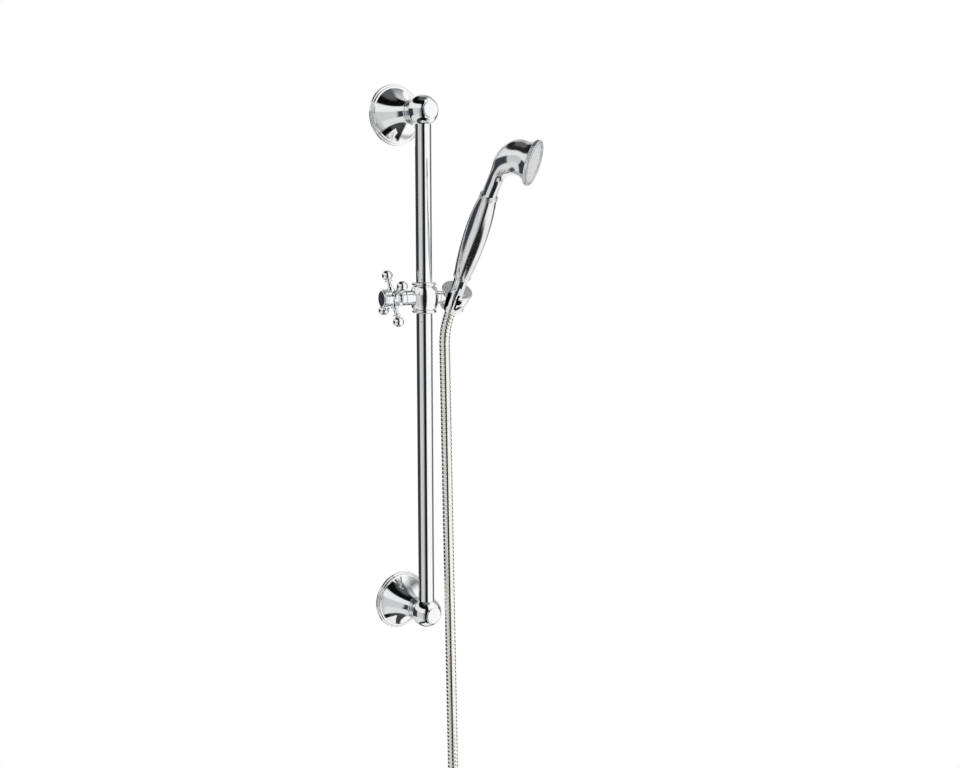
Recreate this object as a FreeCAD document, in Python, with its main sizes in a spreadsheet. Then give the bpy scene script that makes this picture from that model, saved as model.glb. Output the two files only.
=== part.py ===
"""Shower slide rail: a round rail on two wall brackets, a clamped slider with a handset holder,
a handset and its hose. Millimetres, +Z up, the wall is the plane Y = 0 and the rail stands off it
towards -Y. The origin lies on the wall, midway between the two fixing screws."""
import FreeCAD
import Part
import Sketcher
import math
import os
import re

Vector = FreeCAD.Vector
Placement = FreeCAD.Placement
Rotation = FreeCAD.Rotation
X_AXIS = Vector(1, 0, 0)
Y_AXIS = Vector(0, 1, 0)
Z_AXIS = Vector(0, 0, 1)

# Driving dimensions in millimetres, or degrees where the name says turn, lean or angle
SIZES = {
    # Rail and its place on the wall
    "fixing_span": 620, "wall_to_rail": 62, "rail_diameter": 20, "rail_wall": 1.5, "rail_end_drop": 7,
    "seat_clearance": 0.05, "running_clearance": 0.05, "free_gap": 0.4,
    # Ball brackets
    "ball_diameter": 38, "neck_diameter": 24, "stem_diameter": 15, "screw_hole": 5.5,
    "screw_head": 10.5, "screw_seat": 6, "cap_seat": 21.2,
    # Screw caps
    "cap_diameter": 20, "cap_plug_length": 4, "cap_rim": 0.7, "cap_edge": 0.8, "cap_dome": 0.6,
    # Bell roses and neck rings
    "rose_diameter": 74, "rose_depth": 40.5, "rose_wall": 1.8, "rose_mouth": 29, "rose_flare": 70,
    "rose_rim_edge": 0.6, "rim_bead": 2.8, "rim_bead_drop": 1.3, "rim_bead_round": 1.9, "rim_step": 1.1,
    "step_bead": 2.1, "step_bead_drop": 1.2, "step_bead_round": 1.4, "rose_land": 1.1, "rose_back": 3.6,
    "rose_collar": 5, "neck_ring_width": 5.5, "neck_ring_diameter": 30, "neck_ring_second": 28.4,
    "neck_ring_groove": 0.5, "neck_ring_bead": 1.6, "neck_ring_step": 1,
    # Slider
    "slider_height": 88.4, "slider_turn": 8, "bush_wall": 2, "bush_slit": 1.5, "barrel_height": 26.6,
    "barrel_end": 29.6, "barrel_middle": 35.4, "boss_diameter": 17.6, "boss_reach": 18.4,
    "end_ring_height": 5.4, "end_ring_diameter": 28, "end_ring_round": 2.6, "end_ring_neck": 1.2,
    "end_ring_step": 0.8,
    # Clamp
    "shoe_diameter": 10, "shoe_length": 3.1, "clamp_gap": 0.3, "clamp_travel_room": 1.5,
    "collar_diameter": 19.6, "collar_spigot": 13, "collar_wide_ring": 8.6, "collar_narrow_ring": 5.2,
    "collar_groove": 0.45, "collar_groove_depth": 1.1, "collar_edge": 0.5, "spindle_diameter": 8,
    "handle_gap": 0.5, "skirt_length": 3.4, "skirt_small": 10.4, "skirt_large": 13.4, "skirt_rim": 0.8,
    "skirt_flare": 4,
    # Cross handle
    "hub_back": 5.2, "hub_neck": 13.4, "hub_bulb": 8.3, "hub_step": 3.4, "hub_front": 12.6,
    "hub_diameter": 21.4, "hub_edge": 1.4, "hub_web": 2,
    "hub_pocket": 15, "hub_pocket_depth": 5, "hub_groove": 0.5, "hub_bead": 2.6,
    "cross_turn": 30, "spoke_reach": 31.1, "spoke_ball": 13.4, "spoke_boss": 9.6, "spoke_boss_end": 13.8,
    "spoke_root": 5.4, "spoke_tip": 4.2, "spoke_ring": 9, "spoke_ring_width": 1.8,
    "spoke_taper": 1.8, "spoke_count": 4,
    "handle_screw_thread": 4, "handle_screw_head": 7.4, "handle_screw_head_height": 2.4,
    "handle_screw_length": 12, "index_plug": 2.2, "index_diameter": 21.2, "index_height": 2.6,
    "index_edge": 2.1, "index_dome": 0.4,
    # Holder
    "arm_reach": 42.4, "holder_lean": 35, "holder_washer": 1, "washer_margin": 0.4, "arm_diameter": 16.4,
    "spigot_diameter": 12, "spigot_gap": 0.6, "spigot_groove": 1, "set_screw": 4, "set_screw_length": 3.4,
    "cup_top": 10.6, "cup_bottom": 15.6, "cup_rim": 37, "cup_foot": 29, "cup_bead": 2.6,
    "cup_bead_step": 0.7, "bead_round": 1.35, "cup_bowl": 34, "cup_mouth": 25.4, "cup_throat": 19.8,
    "slot_width": 15, "slot_angle": -132,
    # Cone nut on the hose
    "nut_above": 0.4, "nut_below": 5.4, "nut_band": 7, "nut_groove": 0.9, "nut_groove_depth": 0.6,
    "thread_diameter": 21, "thread_length": 9, "seal_thickness": 2, "seal_hole": 10,
    # Handset
    "spray_turn": -48, "waterway": 11, "base_top": 30, "base_neck": 17.6, "base_foot": 17,
    "bead_length": 4, "bead_diameter": 21.6, "bead_bulge": 2.4, "grip_length": 109.4,
    "grip_end": 21.4, "grip_middle": 29.4, "grip_middle_share": 0.558,
    "head_neck": 17.2, "face_height": 207.4, "face_reach": 38.4, "face_angle": 8.3,
    "face_diameter": 52, "rim_depth": 5, "rim_lip": 1.2, "plate_diameter": 46, "plate_depth": 3,
    "plate_dome": 1.6, "nozzle_diameter": 2, "nozzle_pitch": 5.8, "nozzle_rings": 3, "nozzle_count": 6,
    "shell_wall": 2,
    # Hose
    "hose_diameter": 14, "coil_radius": 72, "coil_pitch": 14.4, "coil_turns": 2, "coil_margin": 0.4,
    "coil_lead": 20, "tail_length": 60, "tail_lead": 14, "tie_wall": 1.2,
    "tie_height": 10, "tie_gap": 0.4, "tie_lift": 8, "neck_run": 26, "ferrule_diameter": 17,
    "ferrule_length": 16, "far_nut_length": 17, "far_nut_flats": 24,
    "far_thread": 18.6, "far_thread_depth": 11, "far_seat": 19.2,
}

# Hose from the cone nut round to where it hangs, and on to its coil: points chosen by hand
HOSE_ROUTE = [(43.66, -55.97, 71.20), (45.18, -45.18, 55.60), (46.06, -38.93, 35.60),
              (53.86, -44.93, -634.00)]
ARC_SHARE = 0.45

doc = FreeCAD.newDocument("shower_slide_rail")
sheet = doc.addObject("Spreadsheet::Sheet", "sheet")
for row, (name, size) in enumerate(SIZES.items(), start=1):
    sheet.set(f"A{row}", name)
    sheet.set(f"B{row}", str(size))
    sheet.setAlias(f"B{row}", name)
doc.recompute()

sub_parts = []


def value(text):
    """The number that a formula in the sheet's own names gives."""
    return float(sheet.evalExpression(text))


def bound(text):
    """The same formula with each name pointing at its cell."""
    def cell(match):
        name = match.group()
        return f"sheet.{name}" if name in SIZES else name
    return re.sub(r"[a-z][a-z0-9_]*", cell, text)


def origin_plane(body, role):
    """One of the body's own origin planes."""
    return next(feature for feature in body.Origin.OriginFeatures if feature.Role == role)


def new_body(label, placement):
    """An empty body that becomes one sub-part."""
    body = doc.addObject("PartDesign::Body", label)
    body.Label = label
    body.Placement = placement
    sub_parts.append(body)
    return body


def new_sketch(body, role, offset=None):
    """A sketch on one of the body's origin planes, moved by an offset if one is given."""
    sketch = body.newObject("Sketcher::SketchObject", f"{body.Label}_sketch")
    sketch.AttachmentSupport = [(origin_plane(body, role), "")]
    sketch.MapMode = "FlatFace"
    if offset is not None:
        sketch.AttachmentOffset = offset
    return sketch


def arc_between(start, end, radius, side):
    """Minor arc from start to end: side 1 puts its centre to the left of the way, -1 to the right."""
    chord = end - start
    middle = (start + end) / 2
    left = Vector(-chord.y, chord.x, 0).normalize()
    rise = math.sqrt(max(radius ** 2 - (chord.Length / 2) ** 2, 0))
    centre = middle + left * rise * side
    first, last = (start, end) if side > 0 else (end, start)
    angles = [math.atan2(point.y - centre.y, point.x - centre.x) for point in (first, last)]
    circle = Part.Circle(centre, Z_AXIS, radius)
    return Part.ArcOfCircle(circle, angles[0], angles[1])


def draw_outline(sketch, outline):
    """Closed outline of (x, y) formulas. A third and fourth entry make the way to that point an arc
    of that radius, with its centre to the left (1) or right (-1)."""
    points = [Vector(value(entry[0]), value(entry[1]), 0) for entry in outline]
    ends = []
    for index, start in enumerate(points):
        target = (index + 1) % len(points)
        entry = outline[target]
        if len(entry) > 2:
            radius = value(entry[2])
            edge = sketch.addGeometry(arc_between(start, points[target], radius, entry[3]))
            constraint = sketch.addConstraint(Sketcher.Constraint("Radius", edge, radius))
            sketch.setExpression(f"Constraints[{constraint}]", bound(entry[2]))
            ends.append((edge, 1, 2) if entry[3] > 0 else (edge, 2, 1))
        else:
            edge = sketch.addGeometry(Part.LineSegment(start, points[target]))
            ends.append((edge, 1, 2))
    for index, (edge, first, last) in enumerate(ends):
        following = ends[(index + 1) % len(ends)]
        sketch.addConstraint(Sketcher.Constraint("Coincident", edge, last, following[0], following[1]))
    for (edge, first, last), entry, point in zip(ends, outline, points):
        for kind, axis, text, number in (("DistanceX", -2, entry[0], point.x),
                                         ("DistanceY", -1, entry[1], point.y)):
            if text == "0":
                sketch.addConstraint(Sketcher.Constraint("PointOnObject", edge, first, axis))
                continue
            constraint = sketch.addConstraint(Sketcher.Constraint(kind, -1, 1, edge, first, number))
            sketch.setExpression(f"Constraints[{constraint}]", bound(text))


def revolve(body, outline, axis="V_Axis", kind="PartDesign::Revolution"):
    """Turn an outline of (radius, height) formulas about the body's Z axis, or its X axis."""
    sketch = new_sketch(body, "XZ_Plane")
    draw_outline(sketch, outline)
    feature = body.newObject(kind, f"{body.Label}_turned")
    feature.Profile = sketch
    feature.ReferenceAxis = (sketch, [axis])
    feature.Angle = 360
    doc.recompute()
    return feature


def turned(label, outline, placement):
    """A turned piece: one outline about one axis."""
    body = new_body(label, placement)
    revolve(body, outline)
    return body


def cylinder(body, kind, diameter, length, offset):
    """A round boss (Additive) or hole (Subtractive) along the offset's Z axis."""
    feature = body.newObject(f"PartDesign::{kind}Cylinder", f"{body.Label}_{kind.lower()}")
    feature.AttachmentSupport = [(origin_plane(body, "XY_Plane"), "")]
    feature.MapMode = "FlatFace"
    feature.AttachmentOffset = offset
    feature.Radius = value(f"({diameter}) / 2")
    feature.Height = value(length)
    feature.setExpression("Radius", bound(f"({diameter}) / 2"))
    feature.setExpression("Height", bound(length))
    doc.recompute()
    return feature


def polar(body, feature, axis_role, count):
    """Repeat a feature evenly round one of the body's axes."""
    pattern = body.newObject("PartDesign::PolarPattern", f"{body.Label}_pattern")
    pattern.Originals = [feature]
    pattern.Axis = (origin_plane(body, axis_role), [""])
    pattern.Angle = 360
    pattern.Occurrences = int(value(count))
    pattern.setExpression("Occurrences", bound(count))
    body.Tip = pattern
    doc.recompute()
    return pattern


def shift(x=0, y=0, z=0):
    """A move without a turn."""
    return Placement(Vector(x, y, z), Rotation())


def along(axis_turn, x=0, y=0, z=0):
    """A move with the Z axis turned to the given direction."""
    return Placement(Vector(x, y, z), Rotation(Z_AXIS, axis_turn))


# Frames of the moving groups, all worked out from the sheet
half_span = value("fixing_span / 2")
to_room = Rotation(X_AXIS, 90)
slider_frame = Placement(Vector(0, -value("wall_to_rail"), value("slider_height")),
                         Rotation(Z_AXIS, -value("slider_turn")))
handle_frame = slider_frame.multiply(Placement(Vector(), Rotation(Y_AXIS, -90)))
arm_frame = slider_frame.multiply(Placement(Vector(), Rotation(Y_AXIS, 90)))
holder_frame = slider_frame.multiply(
    Placement(Vector(value("arm_reach"), 0, 0), Rotation(X_AXIS, value("holder_lean"))))
handset_frame = holder_frame.multiply(Placement(Vector(), Rotation(Z_AXIS, value("spray_turn"))))


def at(frame, height):
    """A place on a frame's Z axis."""
    return frame.multiply(shift(z=value(height)))


def build_rail():
    """Plain drawn tube between the two ball brackets."""
    length = "fixing_span - 2 * rail_end_drop"
    inner = "rail_diameter / 2 - rail_wall"
    outline = [(inner, "0"), ("rail_diameter / 2", "0"), ("rail_diameter / 2", length), (inner, length)]
    turned("rail_tube", outline, shift(y=-value("wall_to_rail"), z=-half_span + value("rail_end_drop")))


def build_bracket(prefix, end):
    """Ball, neck and stem in one turned piece, bored for the wall screw, with a socket for the rail."""
    frame = Placement(Vector(0, 0, end * half_span), to_room)
    stem = "stem_diameter / 2"
    neck = "neck_diameter / 2"
    ball = "ball_diameter / 2"
    seat = "cap_seat / 2"
    hole = "screw_hole / 2"
    head = "screw_head / 2"
    shoulder = "rose_depth + neck_ring_width"
    front = f"wall_to_rail + sqrt(({ball})^2 - ({seat})^2)"
    outline = [
        (hole, "0"), (stem, "0"), (stem, shoulder), (neck, shoulder),
        (neck, f"wall_to_rail - sqrt(({ball})^2 - ({neck})^2)"),
        (seat, front, ball, 1), (head, front),
        (head, "wall_to_rail + screw_seat"), (hole, "wall_to_rail + screw_seat")]
    body = turned(f"{prefix}_bracket", outline, frame)
    into_rail = Placement(Vector(0, -end * value("rail_end_drop"), value("wall_to_rail")),
                          Rotation(X_AXIS, 90 * end))
    cylinder(body, "Subtractive", "rail_diameter + 2 * seat_clearance", "ball_diameter", into_rail)

    bore = "stem_diameter / 2 + seat_clearance"
    rim = "rose_diameter / 2"
    step = "rose_rim_edge + rim_bead"
    land = f"{step} + step_bead"
    inset = f"{rim} - rim_bead_drop - rim_step"
    bell = f"{inset} - step_bead_drop - rose_land"
    outline = [
        (f"{rim} - rose_back", "0"), (rim, "0"), (rim, "rose_rim_edge"),
        (f"{rim} - rim_bead_drop", step, "rim_bead_round", 1), (inset, step),
        (f"{inset} - step_bead_drop", land, "step_bead_round", 1), (bell, land),
        ("rose_mouth / 2", "rose_depth", "rose_flare", -1),
        (bore, "rose_depth"), (bore, "rose_depth - rose_collar"),
        ("rose_mouth / 2 - rose_wall", "rose_depth - rose_collar"),
        (f"{bell} - rose_wall", f"{land} - rose_wall / 2", "rose_flare + rose_wall", 1)]
    turned(f"{prefix}_rose", outline, frame)

    wide = "neck_ring_diameter / 2"
    narrow = "neck_ring_second / 2"
    waist = f"{narrow} - neck_ring_step"
    first_bead = "(neck_ring_width - neck_ring_groove) / 2"
    second_bead = "(neck_ring_width + neck_ring_groove) / 2"
    outline = [
        (bore, "0"), (wide, "0"), (wide, first_bead, "neck_ring_bead", 1), (waist, first_bead),
        (waist, second_bead), (narrow, second_bead), (narrow, "neck_ring_width", "neck_ring_bead", 1),
        (bore, "neck_ring_width")]
    turned(f"{prefix}_neck_ring", outline, at(frame, "rose_depth"))

    plug = "screw_head / 2 - seat_clearance"
    flat = "cap_diameter / 2 - cap_edge"
    face = "cap_plug_length + cap_rim + cap_edge"
    outline = [
        ("0", "0"), (plug, "0"), (plug, "cap_plug_length"), ("cap_diameter / 2", "cap_plug_length"),
        ("cap_diameter / 2", "cap_plug_length + cap_rim"), (flat, face, "cap_edge", 1),
        ("0", f"{face} + cap_dome", f"(({flat})^2 + cap_dome^2) / (2 * cap_dome)", 1)]
    turned(f"{prefix}_screw_cap", outline, at(frame, f"{front} - cap_plug_length"))


def build_slider():
    """Split bush, barrel body with two bosses, and a beaded ring screwed to each end."""
    inner = "rail_diameter / 2 + running_clearance"
    outer = "rail_diameter / 2 + bush_wall"
    length = "barrel_height - 2 * free_gap"
    body = turned("slider_bush", [(inner, "0"), (outer, "0"), (outer, length), (inner, length)],
                  at(slider_frame, f"-({length}) / 2"))
    slit = body.newObject("PartDesign::SubtractiveBox", "slider_bush_slit")
    slit.AttachmentSupport = [(origin_plane(body, "XY_Plane"), "")]
    slit.MapMode = "FlatFace"
    slit.AttachmentOffset = shift(x=-value("bush_slit") / 2)
    slit.setExpression("Length", bound("bush_slit"))
    slit.setExpression("Width", bound("rail_diameter"))
    slit.setExpression("Height", bound(length))
    doc.recompute()

    end = "barrel_end / 2"
    bulge = "(barrel_middle - barrel_end) / 2"
    curve = f"((barrel_height / 2)^2 + ({bulge})^2) / (2 * {bulge})"
    body = new_body("slider_body", slider_frame)
    revolve(body, [("0", "-barrel_height / 2"), (end, "-barrel_height / 2"),
                   (end, "barrel_height / 2", curve, 1), ("0", "barrel_height / 2")])
    to_holder = Placement(Vector(), Rotation(Y_AXIS, 90))
    to_clamp = Placement(Vector(), Rotation(Y_AXIS, -90))
    for side in (to_holder, to_clamp):
        cylinder(body, "Additive", "boss_diameter", "boss_reach", side)
    bore = f"2 * ({outer} + running_clearance)"
    cylinder(body, "Subtractive", bore, "barrel_height", shift(z=-value("barrel_height / 2")))
    through = "boss_reach + free_gap"
    cylinder(body, "Subtractive", "spigot_diameter + 2 * running_clearance", through, to_holder)
    cylinder(body, "Subtractive", "shoe_diameter + 2 * running_clearance", through, to_clamp)
    spigot_seat = Placement(Vector(-value(SPIGOT_START), 0, 0), Rotation(Y_AXIS, -90))
    cylinder(body, "Subtractive", "collar_spigot + 2 * seat_clearance", "boss_reach", spigot_seat)
    cylinder(body, "Subtractive", "set_screw + 2 * seat_clearance", "barrel_middle",
             Placement(Vector(value(SET_SCREW_PLACE), 0, 0), Rotation(X_AXIS, -90)))

    bore = "rail_diameter / 2 + free_gap"
    edge = "end_ring_diameter / 2"
    neck = f"{edge} - end_ring_step"
    outline = [(bore, "0"), (neck, "0"), (neck, "end_ring_neck"), (edge, "end_ring_neck"),
               (edge, "end_ring_height", "end_ring_round", 1), (bore, "end_ring_height")]
    downward = slider_frame.multiply(Placement(Vector(), Rotation(X_AXIS, 180)))
    turned("slider_upper_ring", outline, at(slider_frame, "barrel_height / 2"))
    turned("slider_lower_ring", outline, at(downward, "barrel_height / 2"))


# Places along the clamp's and the holder's axes, counted from the rail's middle
SHOE_START = "rail_diameter / 2 + bush_wall + clamp_gap"
SHOE_END = f"{SHOE_START} + shoe_length"
SPIGOT_START = f"{SHOE_END} + clamp_travel_room"
COLLAR_END = "boss_reach + collar_wide_ring + collar_groove + collar_narrow_ring"
SKIRT_START = f"{COLLAR_END} + handle_gap"
CROSS_PLANE = f"{SKIRT_START} + skirt_length + hub_back"
SPIGOT_END = "rail_diameter / 2 + bush_wall + running_clearance + spigot_gap"
SET_SCREW_PLACE = f"{SPIGOT_END} + spigot_groove + set_screw / 2"


def build_clamp():
    """Collar, pressure shoe, spindle and skirt on the slider's left side."""
    bore = "spindle_diameter / 2 + running_clearance"
    spigot = "collar_spigot / 2"
    ring = "collar_diameter / 2"
    groove = f"{ring} - collar_groove_depth"
    seat = f"boss_reach - ({SPIGOT_START})"
    wide_end = f"{seat} + collar_wide_ring"
    narrow_start = f"{wide_end} + collar_groove"
    end = f"{COLLAR_END} - ({SPIGOT_START})"
    edge = f"{ring} - collar_edge"
    outline = [
        (bore, "0"), (spigot, "0"), (spigot, seat), (edge, seat), (ring, f"{seat} + collar_edge"),
        (ring, f"{wide_end} - collar_edge"), (edge, wide_end), (groove, wide_end), (groove, narrow_start),
        (edge, narrow_start), (ring, f"{narrow_start} + collar_edge"), (ring, f"{end} - collar_edge"),
        (edge, end), (bore, end)]
    turned("clamp_collar", outline, at(handle_frame, SPIGOT_START))

    shoe = "shoe_diameter / 2"
    outline = [("0", "0"), (shoe, "0"), (shoe, "shoe_length"), ("0", "shoe_length")]
    turned("clamp_shoe", outline, at(handle_frame, SHOE_START))

    thread = "spindle_diameter / 2"
    tapped = "handle_screw_thread / 2 + seat_clearance"
    length = f"{CROSS_PLANE} + hub_front - hub_pocket_depth - hub_web - ({SHOE_END})"
    depth = f"{length} + hub_web - handle_screw_length - free_gap"
    turned("clamp_spindle", [("0", "0"), (thread, "0"), (thread, length), (tapped, length),
                             (tapped, depth), ("0", depth)], at(handle_frame, SHOE_END))

    inner = "spindle_diameter / 2 + seat_clearance"
    large = "skirt_large / 2"
    outline = [(inner, "0"), ("skirt_small / 2", "0"),
               (f"{large} - skirt_rim / 2", "skirt_length - skirt_rim", "skirt_flare", -1),
               (large, "skirt_length - skirt_rim"), (large, "skirt_length"), (inner, "skirt_length")]
    turned("handle_skirt", outline, at(handle_frame, SKIRT_START))


def build_cross_handle():
    """Hub and four ball-ended spokes in one casting, its fixing screw and the index cap over it."""
    frame = at(handle_frame, CROSS_PLANE).multiply(along(value("cross_turn")))
    body = new_body("cross_handle", frame)
    inner = "spindle_diameter / 2 + seat_clearance"
    clear = "handle_screw_thread / 2 + seat_clearance"
    hub = "hub_diameter / 2"
    pocket = "hub_pocket / 2"
    floor = "hub_front - hub_pocket_depth"
    bead = "hub_front - hub_bead"
    neck = "hub_neck / 2"
    revolve(body, [
        (inner, "-hub_back"), (neck, "-hub_back"), (neck, "hub_step", "hub_bulb", 1),
        (f"{hub} - hub_edge", "hub_step"), (hub, "hub_step + hub_edge", "hub_edge", 1),
        (hub, f"{bead} - hub_groove"),
        (f"{hub} - hub_groove", f"{bead} - hub_groove"), (f"{hub} - hub_groove", bead),
        (f"{hub} + hub_groove", bead),
        (f"{hub} + hub_groove", "hub_front"), (pocket, "hub_front"), (pocket, floor), (clear, floor),
        (clear, f"{floor} - hub_web"), (inner, f"{floor} - hub_web")])
    ball = "spoke_ball / 2"
    tip = "spoke_tip / 2"
    ball_start = f"spoke_reach - sqrt(({ball})^2 - ({tip})^2)"
    ring_end = f"{ball_start} - spoke_ring_width / 2"
    ring_start = f"{ring_end} - spoke_ring_width"
    spoke = revolve(body, [
        (f"{neck} - hub_edge", "0"), ("spoke_reach + spoke_ball / 2", "0"), (ball_start, tip, ball, 1),
        (ring_end, tip), (ring_end, "spoke_ring / 2"), (ring_start, "spoke_ring / 2"), (ring_start, tip),
        ("spoke_boss_end + spoke_taper", "spoke_root / 2"), ("spoke_boss_end", "spoke_root / 2"),
        ("spoke_boss_end", "spoke_boss / 2 - spoke_taper / 2"),
        ("spoke_boss_end - spoke_taper / 2", "spoke_boss / 2"),
        (f"{neck} - hub_edge", "spoke_boss / 2")], "H_Axis")
    polar(body, spoke, "Z_Axis", "spoke_count")

    thread = "handle_screw_thread / 2"
    head = "handle_screw_head / 2"
    top = "handle_screw_length + handle_screw_head_height"
    turned("handle_screw", [("0", "0"), (thread, "0"), (thread, "handle_screw_length"),
                            (head, "handle_screw_length"), (head, top), ("0", top)],
           at(frame, f"{floor} - handle_screw_length"))

    plug = "hub_pocket / 2 - seat_clearance"
    edge = "index_diameter / 2"
    flat = f"{edge} - index_edge"
    shoulder = "index_plug + index_height - index_edge"
    top = "index_plug + index_height"
    outline = [("0", "0"), (plug, "0"), (plug, "index_plug"), (edge, "index_plug"), (edge, shoulder),
               (flat, top, "index_edge", 1),
               ("0", f"{top} + index_dome", f"(({flat})^2 + index_dome^2) / (2 * index_dome)", 1)]
    turned("handle_index_cap", outline, at(frame, "hub_front - index_plug"))


def build_holder():
    """Cup, neck and pivot spigot in one casting, slotted for the hose, with its washer and set screw."""
    body = new_body("holder_cup", holder_frame)
    rim = "cup_rim / 2"
    foot = "cup_foot / 2"
    top = "cup_top"
    base = "-cup_bottom"
    upper = "cup_top - cup_bead"
    lower = "-cup_bottom + cup_bead"
    revolve(body, [
        ("0", base), (foot, base), (foot, lower, "bead_round", 1), (f"{foot} - cup_bead_step", lower),
        (f"{rim} - cup_bead_step", upper, "cup_bowl", 1), (rim, upper), (rim, top, "bead_round", 1),
        ("0", top)])
    shoulder = "boss_reach + holder_washer - arm_reach"
    tip = f"{SPIGOT_END} - arm_reach"
    groove = f"{tip} + spigot_groove - free_gap"
    spigot = "spigot_diameter / 2"
    revolve(body, [
        (tip, "0"), (tip, spigot), (groove, spigot), (groove, f"{spigot} - spigot_groove"),
        (f"{groove} + set_screw + 2 * free_gap", f"{spigot} - spigot_groove"),
        (f"{groove} + set_screw + 2 * free_gap", spigot),
        (shoulder, spigot), (shoulder, "arm_diameter / 2"), ("-cup_throat / 2", "arm_diameter / 2"),
        ("-cup_throat / 2", "0")], "H_Axis")
    revolve(body, [("0", base), ("cup_throat / 2", base), ("cup_mouth / 2", top), ("0", top)],
            kind="PartDesign::Groove")
    slot = body.newObject("PartDesign::SubtractiveBox", "holder_cup_slot")
    slot.AttachmentSupport = [(origin_plane(body, "XY_Plane"), "")]
    slot.MapMode = "FlatFace"
    turn = Rotation(Z_AXIS, value("slot_angle"))
    corner = turn.multVec(Vector(0, -value("slot_width") / 2, 0))
    slot.AttachmentOffset = Placement(corner - Z_AXIS * value("cup_bottom + cup_bead"), turn)
    slot.setExpression("Length", bound("cup_rim"))
    slot.setExpression("Width", bound("slot_width"))
    slot.setExpression("Height", bound("cup_bottom + cup_top + 2 * cup_bead"))
    doc.recompute()

    inner = "spigot_diameter / 2 + free_gap"
    outer = "arm_diameter / 2 - washer_margin"
    outline = [(inner, "0"), (outer, "0"), (outer, "holder_washer"), (inner, "holder_washer")]
    turned("holder_washer", outline, at(arm_frame, "boss_reach"))

    radius = "set_screw / 2"
    outline = [("0", "0"), (radius, "0"), (radius, "set_screw_length"), ("0", "set_screw_length")]
    depth = value("spigot_diameter / 2 - spigot_groove + free_gap")
    place = Placement(Vector(value(SET_SCREW_PLACE), depth, 0), Rotation(X_AXIS, -90))
    turned("holder_set_screw", outline, slider_frame.multiply(place))


# Heights along the handset's axis, counted from the cup's middle
NUT_TOP = "cup_top + nut_above"
NUT_BOTTOM = "-cup_bottom - nut_below"
THREAD_START = f"{NUT_TOP} - thread_length"
LOWER_BEAD = "base_top"
GRIP_START = "base_top + bead_length"
UPPER_BEAD = f"{GRIP_START} + grip_length"
HEAD_START = f"{UPPER_BEAD} + bead_length"
CUP_TAPER = "(cup_mouth - cup_throat) / 2 / (cup_top + cup_bottom)"


def cone_radius(height):
    """Radius of the cone nut at a height: the cup's bore less its seat."""
    return f"cup_throat / 2 + ({height} + cup_bottom) * {CUP_TAPER} - seat_clearance"


def build_cone_nut():
    """Cone nut that sits in the cup, with a groove under its top band, and the seal inside it."""
    length = f"{NUT_TOP} - ({NUT_BOTTOM})"
    thread = "thread_diameter / 2 + seat_clearance"
    ledge = f"{THREAD_START} - seal_thickness - ({NUT_BOTTOM})"
    passage = "hose_diameter / 2 + seat_clearance"
    band = f"{NUT_TOP} - nut_band"
    low = f"{band} - nut_groove"
    outline = [
        (passage, "0"), (cone_radius(NUT_BOTTOM), "0"), (cone_radius(low), f"{low} - ({NUT_BOTTOM})"),
        (f"{cone_radius(low)} - nut_groove_depth", f"{low} - ({NUT_BOTTOM})"),
        (f"{cone_radius(band)} - nut_groove_depth", f"{band} - ({NUT_BOTTOM})"),
        (cone_radius(band), f"{band} - ({NUT_BOTTOM})"), (cone_radius(NUT_TOP), length),
        (thread, length), (thread, ledge), (passage, ledge)]
    turned("hose_cone_nut", outline, at(handset_frame, NUT_BOTTOM))

    outer = "thread_diameter / 2 - seat_clearance"
    inner = "seal_hole / 2"
    outline = [(inner, "0"), (outer, "0"), (outer, "seal_thickness"), (inner, "seal_thickness")]
    turned("hose_washer", outline, at(handset_frame, f"{THREAD_START} - seal_thickness"))


def build_handset():
    """Threaded base, two bead rings, barrel grip, horn-shaped head, spray rim and spray plate."""
    water = "waterway / 2"
    thread = "thread_diameter / 2"
    length = f"base_top - ({THREAD_START})"
    outline = [(water, "0"), (thread, "0"), (thread, "thread_length - free_gap"),
               ("base_foot / 2", "thread_length - free_gap"), ("base_neck / 2", length), (water, length)]
    turned("handset_base", outline, at(handset_frame, THREAD_START))

    edge = "bead_diameter / 2"
    outline = [(water, "0"), (edge, "0"), (edge, "bead_length", "bead_bulge", 1), (water, "bead_length")]
    turned("handset_lower_ring", outline, at(handset_frame, LOWER_BEAD))
    turned("handset_upper_ring", outline, at(handset_frame, UPPER_BEAD))

    end = "grip_end / 2"
    middle = "grip_middle / 2"
    swell = "(grip_middle - grip_end) / 2"
    low = "grip_length * grip_middle_share"
    high = "grip_length * (1 - grip_middle_share)"
    low_arc = f"(({low})^2 + ({swell})^2) / (2 * ({swell}))"
    high_arc = f"(({high})^2 + ({swell})^2) / (2 * ({swell}))"
    outline = [(end, "0"), (middle, low, low_arc, 1), (end, "grip_length", high_arc, 1),
               (f"{end} - shell_wall", "grip_length"), (f"{middle} - shell_wall", low, high_arc, -1),
               (f"{end} - shell_wall", "0", low_arc, -1)]
    turned("handset_handle", outline, at(handset_frame, GRIP_START))
    build_head()


def face_frame():
    """Frame at the middle of the spray face, with its Z axis along the spray."""
    place = Vector(value("face_reach"), 0, value("face_height"))
    return handset_frame.multiply(Placement(place, Rotation(Y_AXIS, 90 - value("face_angle"))))


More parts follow.
